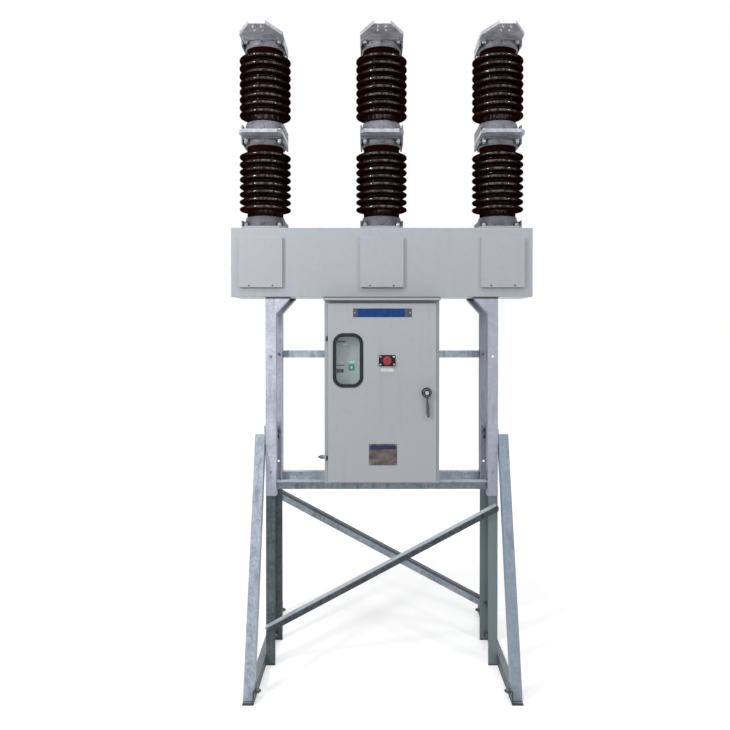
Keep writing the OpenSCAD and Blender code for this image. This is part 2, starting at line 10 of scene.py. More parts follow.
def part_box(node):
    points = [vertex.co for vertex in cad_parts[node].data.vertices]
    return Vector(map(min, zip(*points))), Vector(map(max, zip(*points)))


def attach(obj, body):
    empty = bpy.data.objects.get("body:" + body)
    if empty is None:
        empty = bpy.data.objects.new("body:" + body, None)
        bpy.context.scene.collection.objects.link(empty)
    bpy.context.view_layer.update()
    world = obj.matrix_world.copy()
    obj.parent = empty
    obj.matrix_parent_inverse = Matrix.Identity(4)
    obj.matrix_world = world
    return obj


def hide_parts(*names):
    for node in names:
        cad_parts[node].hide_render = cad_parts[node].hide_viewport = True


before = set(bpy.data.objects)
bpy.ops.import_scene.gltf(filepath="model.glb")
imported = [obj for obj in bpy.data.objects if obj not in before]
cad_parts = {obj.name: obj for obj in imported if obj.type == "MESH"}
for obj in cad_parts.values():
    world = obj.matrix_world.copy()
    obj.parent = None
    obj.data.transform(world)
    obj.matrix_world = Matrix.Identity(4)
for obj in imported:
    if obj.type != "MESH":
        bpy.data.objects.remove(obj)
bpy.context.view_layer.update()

STAND, DOOR, HANDLE, BUTTON = "stand_and_poles", "door", "handle", "button"
UP, DOWN = Vector((0, 0, 1)), Vector((0, 0, -1))
FRONT, BACK = Vector((0, -1, 0)), Vector((0, 1, 0))
LEFT, RIGHT = Vector((-1, 0, 0)), Vector((1, 0, 0))
PHASES = ("a", "b", "c")
MM = 0.001


def mm(*points):
    """Points given in millimetres, in metres."""
    return [tuple(value * MM for value in point) for point in points]


# Sizes that the boxes of the CAD nodes don't give
FOOT_PLATE = 18 * MM
HEAD_PLATE = 12 * MM
ANGLE_T = 5 * MM
END_PLATE = 8 * MM
FRONT_SHEET = 2.2 * MM
FLANGE_BOLT_IN = 28 * MM
COLLAR_WALL_IN = 5 * MM


# ---- Camera ----

CAMERA_PLACE = (-0.0536, -4.1752, 1.9869)
CAMERA_LENS = 34.044
CAMERA_SHIFT = (-0.0104, -0.046)
CAMERA_PITCH = 0.539


def link(obj):
    bpy.context.scene.collection.objects.link(obj)
    return obj


def make_camera():
    data = bpy.data.cameras.new("camera")
    data.sensor_width = 36.0
    data.lens = CAMERA_LENS
    data.shift_x, data.shift_y = CAMERA_SHIFT
    camera = link(bpy.data.objects.new("camera", data))
    camera.location = CAMERA_PLACE
    camera.rotation_euler = (math.radians(90 - CAMERA_PITCH), 0, 0)
    bpy.context.scene.camera = camera


# ---- Materials ----


class Nodes:
    """Shader nodes of a material or of the world."""

    def __init__(self, tree):
        self.tree = tree

    def feed(self, socket, value):
        """Link another node's output to the socket, or set the socket to a number or colour."""
        if isinstance(value, bpy.types.NodeSocket):
            self.tree.links.new(value, socket)
        elif socket.type == "RGBA":
            socket.default_value = (*value, 1.0)
        else:
            socket.default_value = value

    def node(self, kind, props=(), *first, **inputs):
        """A new node, with values for its first sockets in order and for others by name."""
        made = self.tree.nodes.new("ShaderNode" + kind)
        for name, value in dict(props).items():
            setattr(made, name, value)
        for socket, value in zip(made.inputs, first):
            self.feed(socket, value)
        for name, value in inputs.items():
            self.feed(made.inputs[name.replace("_", " ")], value)
        return made

    def span(self, value, low, high, to_low=0.0, to_high=1.0):
        """Values from low to high spread over to_low to to_high, and held beyond them."""
        return self.node("MapRange", (), value, low, high, to_low, to_high).outputs["Result"]

    def calc(self, what, a, b):
        return self.node("Math", {"operation": what, "use_clamp": True}, a, b).outputs["Value"]

    def vector_calc(self, what, *vectors):
        return self.node("VectorMath", {"operation": what}, *vectors).outputs["Value"]


class Surface(Nodes):
    """A procedural material on one Principled shader, in the object's own coordinates."""

    def __init__(self, name, tint, **uniform):
        self.material = bpy.data.materials.new(name)
        self.material.use_nodes = True
        super().__init__(self.material.node_tree)
        self.shader = self.tree.nodes["Principled BSDF"]
        coordinates = self.node("TexCoord").outputs
        self.place, self.outward = coordinates["Object"], coordinates["Normal"]
        self.tint = tint
        self.normal = None
        self.feed(self.shader.inputs["Base Color"], tint)
        for socket, value in uniform.items():
            self.feed(self.shader.inputs[socket.replace("_", " ")], value)

    def noise(self, scale, detail=3.0, rough=0.55, stretch=(1, 1, 1), seed=0.0):
        """Cloudy values about 0.5; scale is in features a metre."""
        place = self.node("Mapping", Vector=self.place, Scale=stretch,
                          Location=(seed, seed * 0.7, seed * 1.3)).outputs["Vector"]
        return self.node("TexNoise", Vector=place, Scale=scale, Detail=detail,
                         Roughness=rough).outputs["Fac"]

    def cells(self, scale):
        """One random value in each crystal."""
        found = self.node("TexVoronoi", Vector=self.place, Scale=scale)
        return self.node("SeparateColor", Color=found.outputs["Color"]).outputs[0]

    def lay(self, over, cause, low, high, share=1.0):
        """Lay a colour over the tint, more so as the cause grows from low to high."""
        node = self.node("Mix", {"data_type": "RGBA"})
        for number, value in (
                (0, self.span(cause, low, high, 0, share)), (6, self.tint), (7, over)):
            self.feed(node.inputs[number], value)
        self.tint = node.outputs[2]
        self.drive("Base Color", self.tint)

    def shade(self, shades):
        """Lay colours by place, in metres along a direction, or by facing, where 1 is turned
        to the direction and -1 is turned away."""
        for kind, direction, *amounts, over in shades:
            vector = self.place if kind == "along" else self.outward
            self.lay(over, self.vector_calc("DOT_PRODUCT", vector, direction), *amounts)

    def drive(self, socket, value):
        self.tree.links.new(value, self.shader.inputs[socket])

    def rough(self, cause, low, high):
        """Roughness from low to high with a cloudy cause."""
        self.drive("Roughness", self.span(cause, 0.3, 0.7, low, high))

    def bump(self, height, depth, strength=1.0):
        """Relief of that depth in metres, on top of any relief before it."""
        node = self.node("Bump", Height=height, Distance=depth, Strength=strength)
        if self.normal is not None:
            self.feed(node.inputs["Normal"], self.normal)
        self.normal = node.outputs["Normal"]
        self.drive("Normal", self.normal)


def grey_paint(name="enamel_grey", shades=()):
    """Light grey enamel on sheet steel: orange peel, faint clouds, dust and rain streaks."""
    cool, warm = (0.438, 0.470, 0.512), (0.452, 0.480, 0.504)
    dust, streak = (0.36, 0.37, 0.365), (0.385, 0.40, 0.405)
    s = Surface(name, cool, Metallic=0.0)
    patches = s.noise(19, 5, 0.62, seed=7.7)
    s.lay(warm, s.noise(2.2, 4, seed=3.1), 0.35, 0.65)
    s.lay(streak, s.noise(26, 4, 0.6, stretch=(1, 1, 0.07), seed=1.9), 0.56, 0.74, 0.40)
    s.lay(dust, patches, 0.55, 0.75, 0.35)
    s.lay(dust, s.noise(260, 2, seed=5.3), 0.70, 0.76, 0.55)
    s.shade(shades)
    s.rough(patches, 0.26, 0.40)
    s.bump(s.noise(340, 2), 0.0004, 0.12)
    s.bump(s.noise(7, 2, seed=9.0), 0.004, 0.10)
    return s.material


def zinc(name, light, dark, stain, roughness=0.46, metal=0.15, shades=()):
    """Hot-dip galvanised steel: crystals, cloudy patches, runs and rough spots."""
    s = Surface(name, dark, Metallic=metal, Specular_IOR_Level=0.2)
    clouds = s.noise(9, 6, 0.66, seed=2.3)
    pits = s.noise(420, 3, 0.6, seed=6.2)
    crystals = s.calc("MULTIPLY", s.cells(95), 0.5)
    s.lay(light, s.calc("ADD", crystals, s.span(clouds, 0.3, 0.7, -0.2, 0.7)), 0, 1)
    s.lay(stain, s.noise(30, 5, 0.62, stretch=(1, 1, 0.12), seed=4.1), 0.52, 0.70, 0.7)
    s.lay(stain, pits, 0.60, 0.72, 0.6)
    s.shade(shades)
    s.rough(clouds, roughness - 0.08, roughness + 0.12)
    s.bump(s.noise(150, 4, 0.6, seed=8.8), 0.0008, 0.25)
    s.bump(pits, 0.0003, 0.35)
    return s.material


def cast_aluminium(name, light, dark, dirt, shades=()):
    """Sand-cast aluminium: grain, grey bloom and darker dirt in patches."""
    s = Surface(name, dark, Metallic=0.25, Specular_IOR_Level=0.3)
    clouds = s.noise(16, 6, 0.68, seed=1.1)
    grain = s.noise(520, 3, 0.6, seed=5.5)
    s.lay(light, clouds, 0.32, 0.68)
    s.lay(dirt, s.noise(46, 4, 0.6, seed=9.3), 0.60, 0.74, 0.75)
    s.lay(light, grain, 0.55, 0.75, 0.45)
    s.shade(shades)
    s.rough(clouds, 0.46, 0.64)
    s.bump(grain, 0.0006, 0.45)
    s.bump(s.noise(70, 3, seed=2.2), 0.002, 0.25)
    return s.material


def rolled_aluminium():
    """Machined aluminium bar: fine tool lines, bright with grey bloom."""
    light, dark = (0.60, 0.61, 0.68), (0.32, 0.33, 0.38)
    s = Surface("aluminium_machined", light, Metallic=0.3)
    lines = s.noise(240, 3, 0.6, stretch=(0.1, 1, 1), seed=4.9)
    s.lay(dark, s.noise(24, 6, 0.68, seed=3.7), 0.34, 0.70)
    s.lay(dark, lines, 0.55, 0.75, 0.4)
    s.rough(lines, 0.28, 0.46)
    s.bump(lines, 0.0003, 0.3)
    return s.material


def brown_porcelain():
    """Brown glazed porcelain: a glaze with slight ripples and dust, whose gloss is patchy and
    falls away at grazing angles, which keeps the sheds' edges dark."""
    deep, warm, dust = (0.0105, 0.0034, 0.0032), (0.022, 0.0060, 0.0050), (0.070, 0.048, 0.042)
    s = Surface("porcelain_glazed_brown", deep, Metallic=0.0, IOR=1.55, Specular_IOR_Level=0.62)
    film = s.noise(60, 5, 0.65, stretch=(1, 1, 0.4), seed=6.6)
    s.lay(warm, s.noise(14, 4, 0.6, seed=2.8), 0.35, 0.65)
    s.lay(dust, film, 0.62, 0.80, 0.25)
    s.drive("Roughness", s.span(film, 0.35, 0.75, 0.03, 0.09))
    patchy = s.span(s.noise(62, 2, stretch=(1, 1, 0.4), seed=12.4), 0.44, 0.60, 0.22, 1.0)
    grazing = s.node("LayerWeight", Blend=0.5).outputs["Facing"]
    gloss = s.calc("MULTIPLY", patchy, s.span(grazing, 0.14, 0.36, 0.95, 0.0))
    s.drive("Specular IOR Level", gloss)
    s.bump(s.noise(48, 3, stretch=(1, 1, 0.5), seed=8.1), 0.0022, 0.35)
    return s.material


def dark_chrome(name="chrome_weathered", light=(0.13, 0.14, 0.17), dark=(0.035, 0.04, 0.05)):
    """Plated fittings gone dull outdoors: bloom in patches and small pits."""
    s = Surface(name, dark, Metallic=0.9)
    clouds = s.noise(70, 5, 0.66, seed=3.3)
    pits = s.noise(900, 2, seed=7.1)
    s.lay(light, clouds, 0.35, 0.65)
    s.lay(dark, pits, 0.66, 0.76, 0.6)
    s.rough(clouds, 0.20, 0.42)
    s.bump(pits, 0.0002, 0.3)
    return s.material


def bolt_steel(name, light, dark):
    """Galvanised bolts: grey bloom in patches and grime."""
    s = Surface(name, dark, Metallic=0.6)
    clouds = s.noise(120, 4, 0.62, seed=1.7)
    grit = s.noise(700, 2, seed=4.4)
    s.lay(light, clouds, 0.35, 0.65)
    s.lay((0.09, 0.085, 0.08), grit, 0.62, 0.76, 0.6)
    s.rough(clouds, 0.30, 0.50)
    s.bump(grit, 0.0003, 0.35)
    return s.material


def moulded(name, colour, lighter, roughness, grain=0.25):
    """Moulded rubber or plastic: fine grain, dusty highlights."""
    s = Surface(name, colour, Metallic=0.0, Specular_IOR_Level=0.18)
    dust = s.noise(38, 5, 0.62, seed=2.9)
    s.lay(lighter, dust, 0.45, 0.75)
    s.rough(dust, roughness - 0.06, roughness + 0.10)
    s.bump(s.noise(1100, 2, seed=6.3), 0.00025, grain)
    return s.material


def window_glass():
    """Thin pane with a green tint and dusty film, which lets the lamps through."""
    s = Surface("glass_window_pane", (0.84, 0.89, 0.88), Metallic=0.0, IOR=1.45,
                Transmission_Weight=1.0)
    s.drive("Roughness", s.span(s.noise(30, 5, 0.6, seed=3.0), 0.4, 0.8, 0.0, 0.10))
    clear = s.node("BsdfTransparent", Color=(0.86, 0.92, 0.90))
    both = s.node("MixShader", (), s.node("LightPath").outputs["Is Shadow Ray"],
                  s.shader.outputs["BSDF"], clear.outputs["BSDF"])
    s.feed(s.tree.nodes["Material Output"].inputs["Surface"], both.outputs["Shader"])
    return s.material


def etched_plate():
    """Rating plate metal: brown-grey etched sheet that reflects in patches."""
    pale, brown, dark = (0.17, 0.145, 0.14), (0.085, 0.07, 0.065), (0.03, 0.028, 0.032)
    s = Surface("plate_etched_metal", brown, Metallic=0.6)
    smears = s.noise(48, 4, 0.6, stretch=(0.5, 1, 1.2), seed=8.3)
    s.lay(pale, s.noise(17, 4, 0.6, stretch=(1, 1, 1.5), seed=4.7), 0.38, 0.62)
    s.lay(dark, smears, 0.54, 0.72, 0.8)
    s.rough(smears, 0.28, 0.48)
    s.bump(s.noise(800, 2), 0.0001, 0.2)
    return s.material


def enamel(name, colour, worn):
    """Printed or stove enamel on a plate, worn lighter in places."""
    s = Surface(name, colour, Metallic=0.0, Specular_IOR_Level=0.22)
    wear = s.noise(44, 5, 0.65, seed=5.9)
    fine = s.noise(420, 2, seed=1.3)
    s.lay(worn, wear, 0.50, 0.72, 0.7)
    s.lay(worn, fine, 0.6, 0.75, 0.25)
    s.rough(wear, 0.22, 0.42)
    s.bump(fine, 0.0001, 0.2)
    return s.material


# Colours laid by place or facing, most of them painted light and shade: (kind, direction, from, to,
# share, colour), see Surface.shade
ACROSS_REAR_BRACE = (0.472, 0, 0.882)
ACROSS_FRONT_BRACE = (-0.470, 0, 0.882)
# Painted shade: a dark band at the top of the posts, in the gap under the end plates and beam
SHADE_PAINTED_BENEATH_BEAM = ("along", UP, 2.137, 2.140, 0.9, (0.035, 0.037, 0.045))
# Darker towards the ground: from 11 mm above it, fully so below 6 mm
NEAR_GROUND = ("along", DOWN, -0.011, -0.006, 0.85, (0.045, 0.05, 0.055))
# Painted shade: the base rails' front lips, in front of the raking legs' feet, darkened
SHADE_PAINTED_AT_RAIL_TIPS = ("along", FRONT, 0.573, 0.579, 0.8, (0.045, 0.05, 0.055))

MATERIALS = {
    "paint": grey_paint(),
    "paint_roof": grey_paint("enamel_grey_roof_painted_shade", [
        # Painted shade: the roof's top 8 to 10 mm darkened, where the gap under the beam lies in
        # shadow
        ("along", UP, 2.1385, 2.1405, 0.9, (0.10, 0.105, 0.11))]),
    "zinc_bright": zinc(
        "zinc_bright_new", (0.70, 0.73, 0.84), (0.46, 0.49, 0.58), (0.30, 0.33, 0.39),
        shades=[
            # Painted light and shade: darker towards the right, as if lit from the left; faces
            # turned left or right darker, as side shade, those turned left most
            ("along", RIGHT, -0.4, 0.5, 0.55, (0.32, 0.35, 0.43)),
            ("turned", LEFT, 0.35, 0.9, 0.80, (0.12, 0.135, 0.175)),
            ("turned", RIGHT, 0.35, 0.9, 0.35, (0.20, 0.22, 0.26)), SHADE_PAINTED_BENEATH_BEAM]),
    "zinc_pale": zinc(
        "zinc_pale_patchy", (0.58, 0.66, 0.76), (0.34, 0.40, 0.47), (0.20, 0.23, 0.27),
        shades=[
            # Painted light: darker towards the right, as if lit from the left; darker near the
            # ground
            ("along", RIGHT, -0.2, 0.5, 0.60, (0.22, 0.28, 0.36)), NEAR_GROUND]),
    "zinc_legs": zinc(
        "zinc_dull_grey", (0.16, 0.205, 0.22), (0.075, 0.10, 0.11), (0.05, 0.065, 0.07),
        0.5, 0.2, [
            # Painted light: lighter towards the right. Above 1.04 m lighter still, partly the legs'
            # own paler tone there, partly painted light lifting the shade beside the posts
            ("along", RIGHT, -0.3, 0.5, 0.80, (0.25, 0.305, 0.325)),
            ("along", UP, 1.00, 1.04, 0.95, (0.50, 0.53, 0.62)), NEAR_GROUND]),
    "zinc_rails": zinc(
        "zinc_dark_grey", (0.14, 0.17, 0.19), (0.06, 0.08, 0.09), (0.04, 0.05, 0.055),
        0.5, shades=[
            # Darker near the ground; painted light: faces turned up lighter, as lit from above;
            # painted shade at the rails' front tips
            NEAR_GROUND, ("turned", UP, 0.5, 0.9, 0.75, (0.36, 0.40, 0.44)), SHADE_PAINTED_AT_RAIL_TIPS]),
    "zinc_mid": zinc(
        "zinc_mid_grey", (0.45, 0.51, 0.57), (0.23, 0.28, 0.32), (0.11, 0.13, 0.15)),
    "zinc_light": zinc(
        "zinc_light_grey", (0.80, 0.87, 0.95), (0.50, 0.57, 0.65), (0.26, 0.30, 0.34),
        metal=0.1),
    # Painted light and shade: a dark zinc for the brace's face, shaded under its top leg; faces
    # turned up lighter, as lit from above; the top leg's front edge lighter, a painted highlight
    # and partly wear
    "zinc_front_brace": zinc(
        "zinc_front_brace", (0.15, 0.18, 0.20), (0.060, 0.075, 0.09), (0.035, 0.045, 0.05),
        shades=[
            ("along", ACROSS_FRONT_BRACE, 0.5214, 0.5224, 0.75, (0.50, 0.55, 0.60)),
            ("turned", UP, 0.4, 0.8, 0.8, (0.54, 0.59, 0.64))]),
    "zinc_rear_brace": zinc(
        "zinc_rear_brace", (0.50, 0.56, 0.62), (0.26, 0.30, 0.35), (0.20, 0.23, 0.25),
        metal=0.1, shades=[
            # Painted shade: a dark band along the top of the brace's face, under its top leg
            ("along", ACROSS_REAR_BRACE, 0.515, 0.521, 0.85, (0.07, 0.085, 0.10))]),
    "cast": cast_aluminium(
        "aluminium_sand_cast", (0.17, 0.172, 0.20), (0.085, 0.086, 0.10), (0.05, 0.048, 0.05), [
            # Painted highlight: the foot plate lighter; painted shadow: a dark line along its
            # bottom, where it sits on the beam
            ("along", DOWN, -2.5695, -2.5675, 0.75, (0.46, 0.47, 0.53)),
            ("along", DOWN, -2.5545, -2.5530, 0.85, (0.03, 0.03, 0.035))]),
    "cast_light": cast_aluminium(
        "aluminium_cast_light", (0.27, 0.27, 0.31), (0.13, 0.13, 0.155), (0.05, 0.048, 0.05)),
    "cast_top": cast_aluminium(
        "aluminium_cast_top", (0.38, 0.38, 0.42), (0.17, 0.17, 0.20), (0.06, 0.058, 0.06)),
    "cast_pale": cast_aluminium(
        "aluminium_plate_rough", (0.66, 0.66, 0.72), (0.30, 0.30, 0.35), (0.12, 0.12, 0.135), [
            # Painted light: faces turned to the front much lighter
            ("turned", FRONT, 0.3, 0.9, 0.7, (0.86, 0.86, 0.90))]),
    "machined": rolled_aluminium(),
    "porcelain": brown_porcelain(),
    "chrome": dark_chrome(),
    "bright_chrome": dark_chrome("chrome_bright", (0.72, 0.73, 0.76), (0.42, 0.43, 0.46)),
    "bolts": bolt_steel("steel_galvanised_bolts", (0.62, 0.63, 0.68), (0.30, 0.305, 0.33)),
    "dark_bolts": bolt_steel("steel_bolts_dull", (0.20, 0.21, 0.225), (0.07, 0.075, 0.08)),
    "mid_bolts": bolt_steel("steel_bolts_grey", (0.36, 0.37, 0.40), (0.17, 0.175, 0.19)),
    "rubber": moulded("rubber_slate", (0.022, 0.027, 0.037), (0.042, 0.050, 0.062), 0.66),
    "black": moulded("plastic_black", (0.016, 0.015, 0.017), (0.035, 0.033, 0.036), 0.40),
    "red": moulded("plastic_red", (0.37, 0.045, 0.060), (0.46, 0.08, 0.10), 0.22, 0.05),
    "green": moulded("plastic_green", (0.01, 0.20, 0.13), (0.02, 0.26, 0.18), 0.30),
    "pale_green": moulded("plastic_pale_green", (0.30, 0.48, 0.42), (0.36, 0.52, 0.47), 0.35),
    "white": moulded("plastic_white", (0.80, 0.81, 0.82), (0.70, 0.71, 0.71), 0.35),
    "glass": window_glass(),
    "etched": etched_plate(),
    "plate_dark": enamel("plate_anodised_grey", (0.085, 0.095, 0.12), (0.14, 0.15, 0.18)),
    "blue": enamel("enamel_blue", (0.007, 0.045, 0.19), (0.016, 0.085, 0.28)),
    "navy": enamel("enamel_navy", (0.025, 0.035, 0.09), (0.04, 0.055, 0.13)),
}


# ---- Shapes in mesh code: each is (vertices, faces) ----


def loft(rings, closed=False):
    """Skin over rings of points, its ends capped or, if closed, joined to each other."""
    n = len(rings[0])
    verts = [tuple(p) for ring in rings for p in ring]
    pairs = [(i, (i + 1) % len(rings)) for i in range(len(rings) - (not closed))]
    faces = [
        (i * n + k, i * n + (k + 1) % n, j * n + (k + 1) % n, j * n + k)
        for i, j in pairs for k in range(n)
    ]
    if not closed:
        faces += [tuple(reversed(range(n))), tuple(range(len(verts) - n, len(verts)))]
    return verts, faces


def circle(r, z, sides=24):
    turn = 2 * math.pi / sides
    return [(r * math.cos(k * turn), r * math.sin(k * turn), z) for k in range(sides)]


def hexagon(across, z, limit=1e9, sides=24):
    """Ring of a hexagon with its corners cut at a circle."""
    sixth = math.pi / 3
    points = []
    for k in range(sides):
        a = 2 * math.pi * k / sides
        reach = min(across / 2 / math.cos(a % sixth - sixth / 2), limit)
        points.append((reach * math.cos(a), reach * math.sin(a), z))
    return points


def rounded(w, h, r, z, steps=5):
    """Ring of a rectangle with round corners."""
    points = []
    for k, (sx, sy) in enumerate(((1, 1), (-1, 1), (-1, -1), (1, -1))):
        for step in range(steps + 1):
            a = math.pi / 2 * (k + step / steps)
            x = sx * (w / 2 - r) + r * math.cos(a)
            points.append((x, sy * (h / 2 - r) + r * math.sin(a), z))
    return points


def turned(profile, sides=24):
    """Turned solid about +Z, from (radius, height) pairs."""
    return loft([circle(r, z, sides) for r, z in profile])


def hollow(profile, sides=24):
    """Turned ring about +Z, from a closed loop of (radius, height) pairs."""
    return loft([circle(r, z, sides) for r, z in profile], closed=True)


def insets(w, h, r, section, steps=5, least=0.0):
    """Rings of a rectangle with round corners, from (inset, height) pairs."""
    return [rounded(w - 2 * u, h - 2 * u, max(r - u, least), z, steps) for u, z in section]


def slab(w, h, t, r=2 * MM, edge=0.6 * MM):
    """Plate with round corners and a broken upper edge, its back at z = 0."""
    return loft(insets(w, h, r, ((0, 0), (0, t - edge), (edge, t)), least=0.2 * MM))


def plate(*sizes):
    """A slab with its sizes in millimetres."""
    return slab(*mm(sizes)[0])


def merged(*shapes):
    verts, faces = [], []
    for v, f in shapes:
        base = len(verts)
        verts += v
        faces += [tuple(base + k for k in face) for face in f]
    return verts, faces


def moved(shape, matrix):
    return [tuple(matrix @ Vector(v)) for v in shape[0]], shape[1]


def facing(point, direction, spin=0.0):
    """Matrix that puts a shape's origin at point with its +Z along direction."""
    turn = UP.rotation_difference(direction).to_matrix().to_4x4()
    return Matrix.Translation(point) @ turn @ Matrix.Rotation(spin, 4, "Z")


def fitting(node):
    """Low and high corner of a door fitting's box, and a placement at the middle of its back."""
    low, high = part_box(node)
    return low, high, facing(((low.x + high.x) / 2, high.y, (low.z + high.z) / 2), FRONT)


def copies(shape, matrices):
    return merged(*[moved(shape, m) for m in matrices])


def piece(name, shape, finish, body, sharp=35.0):
    """A finished piece of the object, riding on its body."""
    verts, faces = shape
    mesh = bpy.data.meshes.new(name)
    mesh.from_pydata(verts, [], faces)
    work = bmesh.new()
    work.from_mesh(mesh)
    bmesh.ops.recalc_face_normals(work, faces=work.faces)
    work.to_mesh(mesh)
    work.free()
    mesh.shade_smooth()
    mesh.set_sharp_from_angle(angle=math.radians(sharp))
    mesh.materials.append(MATERIALS[finish])
    obj = link(bpy.data.objects.new(name, mesh))
    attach(obj, body)
    return obj


# ---- Fasteners ----


def washer(inner, outer, t):
    return hollow([(inner, 0), (outer, 0), (outer, t * 0.8), (outer - t * 0.2, t), (inner, t)])


def hex_part(across, height, z=0.0):
    return loft([
        hexagon(across, z), hexagon(across, z + height * 0.84),
        hexagon(across, z + height, across * 0.49)
    ])


def thread(r, z0, z1, pitch=2 * MM):
    """Threaded end: grooves all the way and a chamfered tip."""
    turns = max(1, int((z1 - z0) / pitch))
    profile = [(r * 0.86, z0)]
    for k in range(turns):
        z = z0 + (z1 - z0 - pitch / 2) * k / turns
        profile += [(r, z + pitch * 0.3), (r * 0.88, z + pitch * 0.7)]
    return turned([*profile, (r * 0.94, z1 - pitch / 4), (r * 0.75, z1)], 16)


def bolt_head(size):
    """Washer and hexagon head of a bolt, seated at z = 0."""
    t = size * 0.18
    return merged(washer(size * 0.5, size * 0.98, t), hex_part(size * 1.5, size * 0.64, t))


def nut_end(size, past=0.55):
    """Washer, spring washer, nut and the bolt's threaded end, seated at z = 0."""
    t = size * 0.18
    spring = washer(size * 0.52, size * 0.78, t)
    return merged(
        washer(size * 0.5, size * 0.98, t),
        moved(spring, Matrix.Translation((0, 0, t))),
        hex_part(size * 1.5, size * 0.8, 2 * t),
        thread(size / 2, 2 * t + size * 0.6, 2 * t + size * (0.8 + past)),
    )


def screw_head(size):
    """Pan head of a screw, without its slot."""
    r = size
    return turned([(r, 0), (r, r * 0.25), (r * 0.9, r * 0.5), (r * 0.6, r * 0.66),
                   (r * 0.3, r * 0.70)], 20)


def cross_slot_shade(size):
    """Two dark bars across the top of a screw head: painted shade where its cross slot is."""
    bar = slab(size * 1.05, size * 0.24, size * 0.06, 0.2 * MM, 0.1 * MM)
    top = Matrix.Translation((0, 0, size * 0.68))
    return copies(bar, (top, top @ Matrix.Rotation(math.pi / 2, 4, "Z")))


def rivet(r):
    return turned([(r, 0), (r * 0.95, r * 0.3), (r * 0.7, r * 0.6), (r * 0.3, r * 0.72)], 16)


SPINS = [0.3, 1.1, 0.7, 0.1, 0.9, 0.5]


def spread(points, direction):
    """Placements at points, each with its own spin so that no two bolts look alike."""
    return [facing(p, direction, SPINS[k % len(SPINS)] + k) for k, p in enumerate(points)]


def corners(centre, dx, dy, z):
    return [(centre.x + sx * dx, centre.y + sy * dy, z) for sx in (-1, 1) for sy in (-1, 1)]


def hardware(name, shape, places, finish, body=STAND):
    """Copies of a bolt, nut, screw or rivet as one piece."""
    piece(name, copies(shape, places), finish, body)


def middle(node):
    low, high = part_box(node)
    return (low + high) / 2


def enamelled(name, shape, at, finish, body=DOOR):
    """A plate or label at a placement."""
    return piece(name, moved(shape, at), finish, body)


# ---- Poles ----


def pole_axis(phase):
    return middle("lower_insulator_" + phase)


FLANGE_BOLT, TERMINAL_BOLT = 16 * MM, 10 * MM
UPPER_HOLES = (45 * MM, 50 * MM)
UPPER_EDGE = 24 * MM


def flange_bolts():
    """Bolts of the three flange joints of each pole, and of the upper terminal."""
    heads, nuts, small_nuts, low_nuts = [], [], [], []
    for phase in PHASES:
        axis = pole_axis(phase)
        low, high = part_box("base_flange_" + phase)
        reach = (high.x - low.x) / 2 - FLANGE_BOLT_IN
        low_nuts += spread(corners(axis, reach, reach, low.z + FOOT_PLATE), UP)
        low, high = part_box("lower_terminal_" + phase)
        heads += spread(corners(axis, reach, reach, high.z + FOOT_PLATE), UP)
        nuts += spread(corners(axis, reach, reach, low.z - HEAD_PLATE), DOWN)
        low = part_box("upper_terminal_" + phase)[0]
        heads += spread(corners(axis, reach, reach, low.z - HEAD_PLATE), DOWN)
        small_nuts += upper_terminal_holes(phase)
    hardware("flange_nuts", nut_end(FLANGE_BOLT), nuts, "bolts")
    hardware("base_flange_nuts", nut_end(FLANGE_BOLT), low_nuts, "mid_bolts")
    hardware("flange_bolt_heads", bolt_head(FLANGE_BOLT), heads, "bolts")
    hardware("terminal_nuts", nut_end(TERMINAL_BOLT), small_nuts, "bolts")
    bolt_ends()


def upper_terminal_holes(phase):
    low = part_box("upper_terminal_" + phase)[0]
    centre = Vector((pole_axis(phase).x, low.y + UPPER_EDGE + UPPER_HOLES[1] / 2, 0))
    return spread(corners(centre, UPPER_HOLES[0] / 2, UPPER_HOLES[1] / 2, low.z), DOWN)


def bolt_ends():
    """Countersunk ends that lie flush in the top faces of the upper terminals."""
    sunk = 6.5 * MM
    ends = []
    for phase in PHASES:
        low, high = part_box("upper_terminal_" + phase)
        reach = (high.x - low.x) / 2 - FLANGE_BOLT_IN
        for spot in (*[m.translation for m in upper_terminal_holes(phase)],
                     *corners(pole_axis(phase), reach, reach, low.z)):
            ends.append(Matrix.Translation((*spot[:2], high.z - sunk)))
    hardware("terminal_bolt_ends", turned(mm((6.4, -9), (6.4, 4), (5.4, 5)), 20), ends, "bolts")


def filler_plugs():
    """Plugs of the filling holes, on the front and back of each base and top flange."""
    proud = 3.2 * MM
    plugs = []
    for phase in PHASES:
        for node in ("base_flange_", "top_flange_"):
            low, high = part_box(node + phase)
            reach = (high.x - low.x) / 2 - COLLAR_WALL_IN + proud
            for side in (FRONT, BACK):
                point = pole_axis(phase) + side * reach
                plugs.append(facing((point.x, point.y, (low.z + high.z) / 2), side))
    plug = merged(turned(mm((8, 0), (8, 1.2), (7, 1.8))), hex_part(8 * MM, 1 * MM, 1.8 * MM))
    piece("flange_filler_plugs", copies(plug, plugs), "cast", STAND)


# ---- Beam ----

COVER_SCREW = 5 * MM
COVER_SCREW_X = 68 * MM
COVER_SCREW_IN = 10 * MM


def cover_screws():
    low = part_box("beam_covers")[0]
    where = spread([(pole_axis(phase).x + dx, low.y, low.z + COVER_SCREW_IN)
                    for phase in PHASES for dx in (-COVER_SCREW_X, COVER_SCREW_X)], FRONT)
    hardware("cover_screws", screw_head(COVER_SCREW), where, "dark_bolts")
    # Painted shade: dark bars for the shade in the cover screws' cross slots
    hardware("cover_screw_slot_shades", cross_slot_shade(COVER_SCREW), where, "black")


# ---- Door furniture ----

PLATE_T = 1.2 * MM


def on_door(x, z, out=0.0):
    """Placement on the door's face, with +Z of the shape pointing to the front."""
    return facing((x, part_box("cabinet_door")[0].y - out, z), FRONT)


